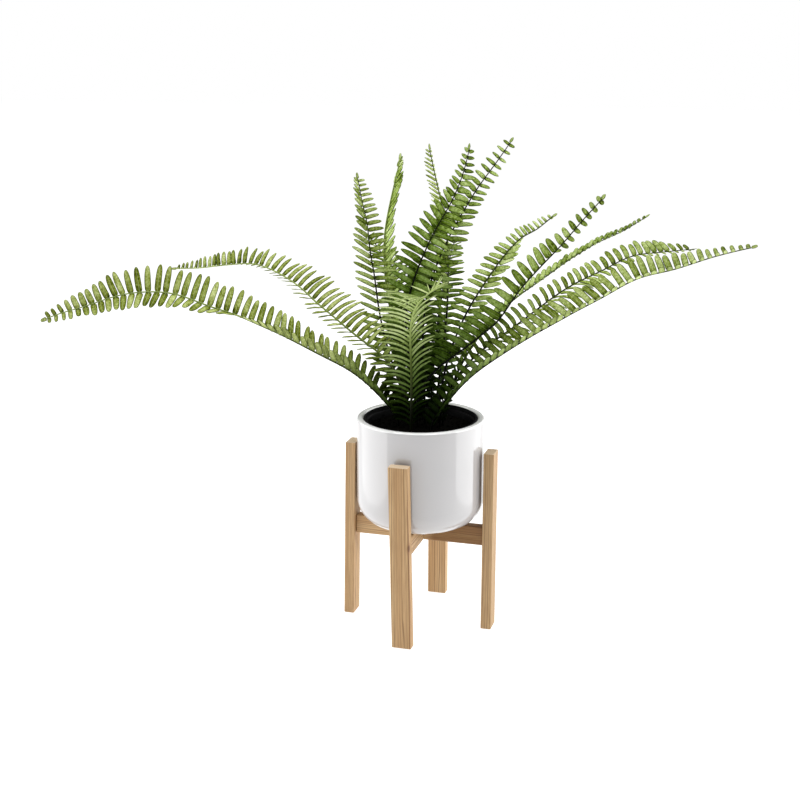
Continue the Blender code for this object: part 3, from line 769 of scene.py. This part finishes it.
def smoothly(values, share):
    """The value at a share of the way along a smooth curve through evenly spaced values."""
    place = share * (len(values) - 1)
    first = min(int(place), len(values) - 2)
    a, b, c, d = (values[min(max(k, 0), len(values) - 1)] for k in range(first - 1, first + 3))
    t = place - first
    bent = (c - a) * t + (2 * a - 5 * b + 4 * c - d) * t ** 2 + (3 * b - a - 3 * c + d) * t ** 3
    return b + 0.5 * bent


def unit(vector):
    return vector / np.linalg.norm(vector)


def sight(place):
    """Unit vectors to the right, upwards and towards the eye as seen at a place, and the size of a unit."""
    away = np.array(EYE) - place
    nearer = unit(away)
    right = unit(np.array(EYE_RIGHT) - nearer * np.dot(EYE_RIGHT, nearer))
    return right, np.cross(nearer, right), nearer, np.linalg.norm(away) / UNITS_FROM_EYE


def rib_axes(frond, share, distance):
    """Unit vectors along the rib and to its left, at a share of its length."""
    rise = min(1, max(0, distance / RISE_LENGTH))
    lean = radians(between(frond.lean, share)) * rise
    heading = radians(between(frond.heading, share))
    roll = radians(between(frond.roll, share))
    out = np.array((cos(heading), sin(heading), 0))
    upright = np.array((0, 0, 1))
    along = sin(lean) * out + cos(lean) * upright
    upper = sin(lean) * upright - cos(lean) * out
    left = np.array((-sin(heading), cos(heading), 0))
    return along, cos(roll) * left + sin(roll) * upper


class Rib:
    """The middle line of a frond, measured from the soil's surface upwards."""

    STEP = 2 * MM

    def __init__(self, frond):
        self.frond = frond
        self.length = frond.length * MM
        x, y = (value * MM for value in frond.root)
        place = np.array((x, y, soil_height(x, y)))
        count = round(self.length / self.STEP)
        step = self.length / count
        points, lefts = [place], [rib_axes(frond, 0, 0)[1]]
        for k in range(count):
            along, left = rib_axes(frond, (k + 0.5) / count, (k + 0.5) * step)
            place = place + along * step
            points.append(place)
            lefts.append(left)
        self.distances = np.linspace(0, self.length, count + 1)
        self.points = np.array([self.shifted(frond, point, k / count) for k, point in enumerate(points)])
        slopes = np.gradient(self.points, axis=0)
        self.alongs = slopes / np.linalg.norm(slopes, axis=1)[:, None]
        self.lefts = np.array(lefts)

    @staticmethod
    def shifted(frond, point, share):
        right, up, _, size = sight(point)
        return point + size * (right * smoothly(frond.aside, share) + up * smoothly(frond.rise, share))

    def found(self, values, distance):
        return np.array([np.interp(distance, self.distances, values[:, k]) for k in range(3)])

    def point(self, distance):
        """A point of the rib, which runs straight down below the soil's surface."""
        return self.found(self.points, distance) + np.array((0, 0, min(0, distance)))

    def axes(self, distance):
        """Unit vectors along the rib, to its left and to its upper side."""
        along = unit(self.found(self.alongs, distance))
        left = self.found(self.lefts, distance)
        left = unit(left - along * np.dot(along, left))
        return along, left, np.cross(along, left)

    def width(self, distance):
        return between(RIB_WIDTH, max(0, distance) / self.length)

    def thickness(self, distance):
        return between(RIB_THICKNESS, max(0, distance) / self.length)

    def leaflet_places(self):
        """Distances of the leaflet pairs, stepped off from the tip down to the bare stem."""
        places = []
        place = self.length - LAST_PAIR_FROM_TIP
        while place > BARE_STEM:
            places.append(place)
            place -= between(self.frond.spacing, place / self.length) * MM
        return places[::-1]


def leaflet_rows(rib, distance, side, tilt, shorten, luck, ending=False):
    """The leaflet's middle line, its directions across and out of its face and its half width, by rows."""
    share = distance / rib.length
    along, left, _ = rib.axes(distance)
    root = rib.point(distance)
    right, up, nearer, size = sight(root)
    frond = rib.frond
    looks = frond.left if side > 0 else frond.right
    angle = between(looks.angle, share) + MOST_LUCK.angle * luck.angle
    seen = between(looks.reach, share) * (1 + MOST_LUCK.reach * luck.reach)
    rows = np.array(ROWS)
    if ending:
        full = END_REACH * size
        outwards = np.tile(along, (len(rows), 1))
    else:
        depth = between(looks.nearer, share)
        full = hypot(seen, depth) * size
        climb = atan2(depth, seen) + radians(tilt + MOST_LUCK.tilt * luck.tilt)
        angles = np.radians(angle + between(looks.curl, share) * (rows - 0.5))[:, None]
        outwards = np.cos(angles) * right + np.sin(angles) * up
        outwards = cos(climb) * outwards + sin(climb) * nearer
        start = outwards[0]
        root = root + unit(start - along * np.dot(start, along)) * rib.width(distance) * 0.3
    start = outwards[0]
    beside = left if ending else along
    across = unit(beside - start * np.dot(beside, start))
    normal = side * np.cross(across, start)
    bends = np.radians(LEAF_BEND * rows)[:, None]
    outwards = np.cos(bends) * outwards - np.sin(bends) * normal
    across = across - outwards * (outwards @ across)[:, None]
    across /= np.linalg.norm(across, axis=1)[:, None]
    normal = side * np.cross(across, outwards)
    twist = radians(between(looks.turn, share) + MOST_LUCK.turn * luck.turn)
    flat_across, flat_normal = across, normal
    across = cos(twist) * flat_across + sin(twist) * flat_normal
    normal = cos(twist) * flat_normal - sin(twist) * flat_across
    steps = np.diff(rows)[:, None] * full * shorten * (outwards[1:] + outwards[:-1]) / 2
    line = np.vstack((root, root + np.cumsum(steps, axis=0)))
    shape = (1 - frond.point) * np.array(BLUNT_WIDTHS) + frond.point * np.array(POINTED_WIDTHS)
    breadth = min(1, max(NARROWEST_SHARE, full / size / FULL_WIDTH_REACH))
    return line, across, normal, shape * frond.width * MM / 2 * breadth


def leaflet_strip(rows):
    """A few faces that stand for the leaflet where crossings are looked for."""
    line, across, _, widths = rows
    kept = (1, 5, 9, 13)
    edges = [line[k] + turn * across[k] * widths[k] for k in kept for turn in (-1, 1)]
    return edges, [(k, k + 1, k + 3, k + 2) for k in (0, 2, 4)]


def tree_of(strips):
    points, faces = [], []
    for strip_points, strip_faces in strips:
        faces += [tuple(index + len(points) for index in face) for face in strip_faces]
        points += [tuple(point) for point in strip_points]
    return BVHTree.FromPolygons(points, faces)


def rib_strip(rib):
    """The rib as a square tube, for looking for crossings."""
    points, faces = [], []
    for row, place in enumerate(np.arange(0, rib.length, 2 * RIB_STEP)):
        _, left, upper = rib.axes(place)
        middle = rib.point(place)
        wide, thick = left * rib.width(place) / 2, upper * rib.thickness(place) / 2
        points += [middle + wide + thick, middle - wide + thick, middle - wide - thick]
        points.append(middle + wide - thick)
        if row:
            low, high = 4 * (row - 1), 4 * row
            faces += [(low + k, low + (k + 1) % 4, high + (k + 1) % 4, high + k) for k in range(4)]
    return points, faces


def free_leaflet(rib, distance, side, luck, others):
    """The rows of a leaflet that is bent or shortened until it is clear of the other fronds, or None."""
    for tilt, shorten in BENDS:
        rows = leaflet_rows(rib, distance, side, tilt, shorten, luck)
        if not others.overlap(tree_of([leaflet_strip(rows)])):
            return rows
    return None


def arrange_leaflets(ribs):
    """The leaflets of each frond as a list of (rows, side, luck), with none across another frond."""
    tests = {name: rib_strip(rib) for name, rib in ribs.items()}
    placed = []
    found = {}
    for number, name in enumerate(PLACING_ORDER):
        rib = ribs[name]
        random = np.random.default_rng(100 + number)
        others = tree_of(placed + [test for other, test in tests.items() if other != name])
        found[name] = []
        for distance in rib.leaflet_places():
            for side in (1, -1):
                luck = Luck(*random.uniform(-1, 1, len(NO_LUCK)))
                place = distance + MOST_LUCK.place * luck.place
                rows = free_leaflet(rib, place, side, luck, others)
                if rows:
                    found[name].append((rows, side, luck))
        ending = leaflet_rows(rib, rib.length - END_FROM_TIP, 1, 0, 1, NO_LUCK, True)
        found[name].append((ending, 1, NO_LUCK))
        placed += [leaflet_strip(rows) for rows, _, _ in found[name]]
    return found


class Sheet:
    """Collects points, faces and the values that the materials of a frond read at each point."""

    def __init__(self, frond):
        self.frond = frond
        self.points, self.faces, self.looks = [], [], []
        self.values = {name: [] for name in ("along", "across", "tone", "warmth", "light", "under")}

    def extend(self, points, faces, look, **values):
        start = len(self.points)
        self.points += [tuple(point) for point in points]
        self.faces += [tuple(index + start for index in face) for face in faces]
        self.looks += [look] * len(faces)
        values["warmth"] = self.frond.warmth
        values["light"] = light_at(points, self.frond.dim)
        for name, found in values.items():
            self.values[name] += list(np.broadcast_to(found, len(points)))

    def make(self, name, materials):
        obj = object_from(name, self.points, self.faces, materials)
        obj.data.polygons.foreach_set("material_index", self.looks)
        for value_name, found in self.values.items():
            layer = obj.data.attributes.new(value_name, "FLOAT", "POINT")
            layer.data.foreach_set("value", np.array(found, dtype=np.float32))
        return obj


def light_at(points, dim):
    """The share of light that comes to points: little deep in the plant, all of it from dim mm outwards."""
    distances = np.linalg.norm(np.array(points) - (0, 0, SOIL_EDGE), axis=1)
    share = np.clip((distances / MM - DARK_CORE) / (dim - DARK_CORE), 0, 1)
    return DARKEST + (1 - DARKEST) * share * share * (3 - 2 * share)


def add_leaflet(sheet, rows, side, luck):
    """A leaflet with an arched, slightly rippled face above and the same below, joined around its edge."""
    line, across, normal, widths = rows
    row_count, column_count = len(ROWS), len(COLUMNS)
    grid = np.empty((row_count, column_count, 3))
    for column, place in enumerate(COLUMNS):
        ripple = RIPPLE * copysign(place ** 2, place) * np.sin(9 * np.array(ROWS) + 6 * luck.tone)
        arch = -ARCH * abs(place) ** 1.5 - GROOVE * (place == 0) + ripple
        grid[:, column] = line + across * (place * widths)[:, None] + normal * (arch * widths)[:, None]
    below = grid - normal[:, None, :] * LEAF_THICKNESS
    points = np.vstack((grid.reshape(-1, 3), below.reshape(-1, 3)))
    count = row_count * column_count
    faces = []
    for row in range(row_count - 1):
        for column in range(column_count - 1):
            a = row * column_count + column
            b, c, d = a + 1, a + column_count + 1, a + column_count
            face = (a, b, c, d) if side > 0 else (d, c, b, a)
            faces += [face, tuple(k + count for k in face[::-1])]
    edge = list(range(column_count))
    edge += [row * column_count + column_count - 1 for row in range(1, row_count)]
    edge += [(row_count - 1) * column_count + column for column in range(column_count - 2, -1, -1)]
    edge += [row * column_count for row in range(row_count - 2, 0, -1)]
    for a, b in zip(edge, edge[1:] + edge[:1]):
        face = (b, a, a + count, b + count)
        faces.append(face if side > 0 else face[::-1])
    sheet.extend(
        points,
        faces,
        0,
        along=np.tile(np.repeat(ROWS, column_count), 2),
        across=np.tile(COLUMNS, 2 * row_count),
        tone=sheet.frond.tone + MOST_LUCK.tone * luck.tone,
        under=np.repeat((0, 1), count),
    )


def add_rib(sheet, rib):
    """A tapered rib, oval in section, from below the soil to a point."""
    count = round((rib.length + STEM_DEPTH) / RIB_STEP)
    places = np.linspace(-STEM_DEPTH, rib.length - RIB_POINT, count)
    points, faces, heights, shares = [], [], [], []
    for row, place in enumerate(places):
        _, left, upper = rib.axes(place)
        middle = rib.point(place)
        for k in range(RIB_SIDES):
            angle = 2 * pi * k / RIB_SIDES
            wide = left * cos(angle) * rib.width(place) / 2
            thick = upper * sin(angle) * rib.thickness(place) / 2
            points.append(middle + wide + thick)
            heights.append(sin(angle))
            shares.append(max(0, place) / rib.length)
        if row:
            low, high = (row - 1) * RIB_SIDES, row * RIB_SIDES
            for k in range(RIB_SIDES):
                ahead = (k + 1) % RIB_SIDES
                faces.append((low + k, low + ahead, high + ahead, high + k))
    points += [rib.point(-STEM_DEPTH), rib.point(rib.length)]
    heights += [0, 0]
    shares += [0, 1]
    foot, tip = len(points) - 2, len(points) - 1
    high = (count - 1) * RIB_SIDES
    for k in range(RIB_SIDES):
        ahead = (k + 1) % RIB_SIDES
        faces.append((foot, ahead, k))
        faces.append((tip, high + k, high + ahead))
    sheet.extend(points, faces, 1, along=shares, across=heights, tone=rib.frond.rib_tone, under=0)


def make_fronds():
    materials = [leaf_material(), rib_material()]
    ribs = {name: Rib(frond) for name, frond in FRONDS.items()}
    for name, leaflets in arrange_leaflets(ribs).items():
        sheet = Sheet(FRONDS[name])
        add_rib(sheet, ribs[name])
        for rows, side, luck in leaflets:
            add_leaflet(sheet, rows, side, luck)
        frond = sheet.make("fine_" + name, materials)
        dressed(frond, [name])


def dowel_holes():
    """Rods that cut the two dowel holes into the right leg, a little past its face."""
    holes = bmesh.new()
    depth = DOWEL_IN_LEG + GAP
    past = 1 * MM
    face = LEG_RADIUS - LEG_DEPTH / 2
    for offset in (-DOWEL_SPACING / 2, DOWEL_SPACING / 2):
        place = (face + depth / 2 - past, 0, (BAR_BOTTOM + BAR_TOP) / 2 + offset)
        bmesh.ops.create_cone(
            holes,
            cap_ends=True,
            segments=24,
            radius1=DOWEL_RADIUS + GAP,
            radius2=DOWEL_RADIUS + GAP,
            depth=depth + 2 * past,
            matrix=Matrix.Translation(place) @ Matrix.Rotation(radians(90), 4, "Y"),
        )
    mesh = bpy.data.meshes.new("holes")
    holes.to_mesh(mesh)
    holes.free()
    return put_in_scene("holes", mesh)


def make_leg(side, look):
    """A leg with rounded edges and holes for its two dowels, made at the right and then turned."""
    shape = bmesh.new()
    size = Matrix.Diagonal((LEG_DEPTH, LEG_WIDTH, LEG_HEIGHT, 1))
    bmesh.ops.create_cube(shape, size=1, matrix=Matrix.Translation((LEG_RADIUS, 0, LEG_HEIGHT / 2)) @ size)
    bmesh.ops.bevel(shape, geom=shape.edges[:], offset=LEG_EDGE, segments=3, profile=0.5, affect="EDGES")
    turn = Matrix.Rotation(radians(TURNS[side]), 4, "Z")
    rightwards = turn.to_3x3().inverted() @ Vector((1, 0, 0))
    for vert in shape.verts:
        vert.co += rightwards * between(LEG_LEANS[side], vert.co.z / LEG_HEIGHT) * MM
    mesh = bpy.data.meshes.new("leg")
    shape.to_mesh(mesh)
    shape.free()
    leg = put_in_scene(f"wooden_leg_{side}", mesh)
    holes = dowel_holes()
    cut = leg.modifiers.new("dowel holes", "BOOLEAN")
    cut.operation = "DIFFERENCE"
    cut.object = holes
    bpy.context.view_layer.update()
    cut_mesh = bpy.data.meshes.new_from_object(leg.evaluated_get(bpy.context.evaluated_depsgraph_get()))
    leg.modifiers.clear()
    leg.data = cut_mesh
    bpy.data.objects.remove(holes)
    cut_mesh.transform(turn)
    cut_mesh.materials.append(look)
    dressed(leg, [f"leg_{side}"])


def make_stand():
    looks = {
        "front": wood_material("wood_front", 2, (0.031, 0.052, 0.1), knot=True),
        # The right leg's darker tint is painted shade
        "right": wood_material("wood_right", 2, (-0.062, 0.044, 0.7), (0.85, 0.83, 0.8)),
        "back": wood_material("wood_back", 2, (0.05, -0.13, 0.4)),
        "left": wood_material("wood_left", 2, (0.142, 0.03, 0.25)),
    }
    for side in TURNS:
        make_leg(side, looks[side])
    side_to_side = wood_material("wood_side_to_side", 0, (0.3, 0.05, -0.07), painted_shade=True)
    front_to_back = wood_material("wood_front_to_back", 1, (0.04, 0.6, -0.08))
    dowel = wood_material("wood_dowel", 0, (0.11, 0.02, 0.3))
    kept = {"crossbar_side_to_side": side_to_side, "crossbar_front_to_back": front_to_back}
    for name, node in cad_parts.items():
        if name in kept or name.startswith("dowel_"):
            node.material_slots[0].material = kept.get(name, dowel)


def make_floor():
    made, tree, shader = new_material("floor")
    grain = noise(position(tree), 30, 2)
    colour = ramp(grain, [(0.3, (0.38, 0.38, 0.38)), (0.7, (0.4, 0.4, 0.4))])
    glow = {"Emission Color": (1, 1, 1, 1), "Emission Strength": FLOOR_GLOW}
    fill(shader, {"Base Color": colour, "Roughness": 0.9, **glow})
    reach = FLOOR_REACH
    corners = [(-reach, -reach), (reach, -reach), (reach, reach), (-reach, reach)]
    floor = object_from("floor", [(x, y, -0.5 * MM) for x, y in corners], [(0, 1, 2, 3)], [made])


def make_light(name, turn, distance, height, aim, size, watts, seen):
    data = bpy.data.lights.new(name, "AREA")
    data.shape = "RECTANGLE"
    data.size, data.size_y = size
    data.energy = watts
    light = put_in_scene(name, data)
    bearing = radians(turn)
    light.location = (distance * sin(bearing), -distance * cos(bearing), height)
    light.rotation_euler = (Vector((0, 0, aim)) - light.location).to_track_quat("-Z", "Y").to_euler()
    light.visible_camera = seen


def make_studio():
    world = bpy.data.worlds.new("studio")
    bpy.context.scene.world = world
    world.use_nodes = True
    tree = world.node_tree
    seen = add(tree, "LightPath").outputs["Is Camera Ray"]
    strength = maths("MULTIPLY_ADD", seen, 1 - AMBIENT, AMBIENT)
    fill(tree.nodes["Background"], {"Color": (1, 1, 1, 1), "Strength": strength})
    for name, values in SOFTBOXES.items():
        make_light(name, *values)
    bpy.context.scene.view_settings.view_transform = "Standard"
    bpy.context.scene.view_settings.look = "None"


def make_camera():
    data = bpy.data.cameras.new("camera")
    data.sensor_width = SENSOR_WIDTH
    data.lens = LENS
    camera = put_in_scene("camera", data)
    camera.location = EYE
    camera.rotation_euler = [radians(value) for value in EYE_TURNS]
    bpy.context.scene.camera = camera


make_stand()
make_planter()
make_liner()
make_soil()
make_fronds()
make_floor()
make_studio()
make_camera()
